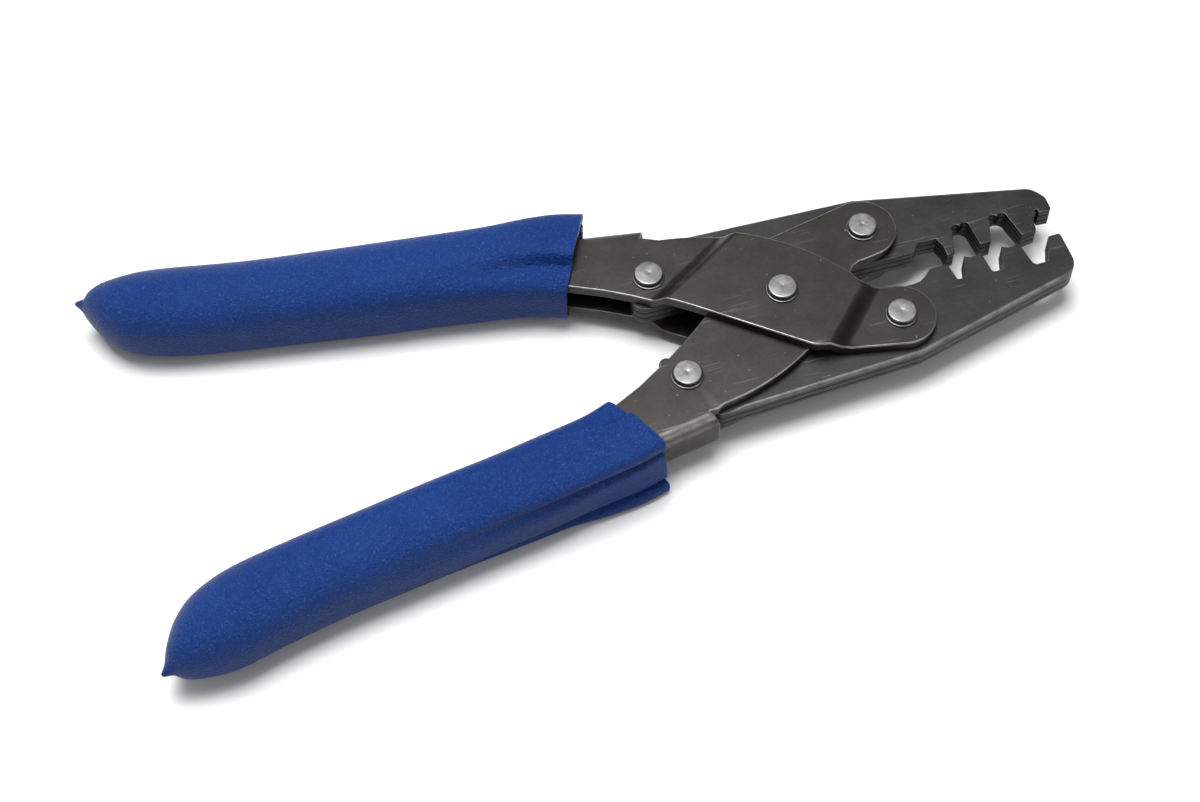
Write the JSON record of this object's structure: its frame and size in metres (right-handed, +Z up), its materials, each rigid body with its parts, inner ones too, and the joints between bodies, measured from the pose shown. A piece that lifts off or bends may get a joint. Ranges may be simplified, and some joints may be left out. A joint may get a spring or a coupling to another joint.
{
  "type": "crimping tool",
  "caption": "Hand crimping tool for open-barrel terminals: folded steel handles cross at a rivet and close laminated jaws with graded nests in parallel.",
  "frame": {"origin": "on the axis of the centre rivet, at the surface the tool rests on", "axes": "+X from the centre rivet to the jaws, along the jaws' centreline; +Z up along the pivots; +Y to the side of the outer handle's grip"},
  "size_m": [0.2119, 0.0976, 0.0185],
  "materials": {
    "handle_steel": "blackened sheet steel, satin, worn bright at the edges",
    "jaw_steel": "black oxide, satin, fine scratches",
    "rivet_steel": "plain turned steel, lightly tarnished",
    "bush_steel": "plain ground steel",
    "grip_vinyl": "dipped vinyl, satin, finely textured"
  },
  "bodies": {
    "outer_lever": {"outer_handle": "handle_steel", "outer_grip": "grip_vinyl", "centre_rivet": "rivet_steel", "centre_bush": "bush_steel", "outer_handle_front_rivet": "rivet_steel", "outer_handle_rear_rivet": "rivet_steel", "anvil_jaw_bush": "bush_steel"},
    "inner_lever": {"inner_handle": "handle_steel", "inner_grip": "grip_vinyl", "inner_handle_front_rivet": "rivet_steel", "inner_handle_rear_rivet": "rivet_steel", "crimper_jaw_bush": "bush_steel"},
    "crimper_jaw": {"crimper_jaw_top_plate": "jaw_steel", "crimper_jaw_middle_plate": "jaw_steel", "crimper_jaw_bottom_plate": "jaw_steel"},
    "anvil_jaw": {"anvil_jaw_top_plate": "jaw_steel", "anvil_jaw_middle_plate": "jaw_steel", "anvil_jaw_bottom_plate": "jaw_steel"}
  },
  "joints": [
    {"name": "handle_pivot", "type": "hinge", "parent": "outer_lever", "child": "inner_lever", "pos_m": [0, 0, 0.00925], "axis": [0, 0, -1], "range_deg": [0, 15.2]},
    {"name": "crimper_jaw_pivot", "type": "hinge", "parent": "inner_lever", "child": "crimper_jaw", "pos_m": [0.02306, 0.01201, 0.00925], "axis": [0, 0, 1], "range_deg": [0, 8.1]},
    {"name": "anvil_jaw_pivot", "type": "hinge", "parent": "outer_lever", "child": "anvil_jaw", "pos_m": [0.02306, -0.01201, 0.00925], "axis": [0, 0, -1], "range_deg": [0, 8.1]}
  ],
  "couplings": [
    {"joint": "crimper_jaw_pivot", "follows": "handle_pivot", "ratio": 0.5326},
    {"joint": "anvil_jaw_pivot", "follows": "handle_pivot", "ratio": 0.5326}
  ]
}
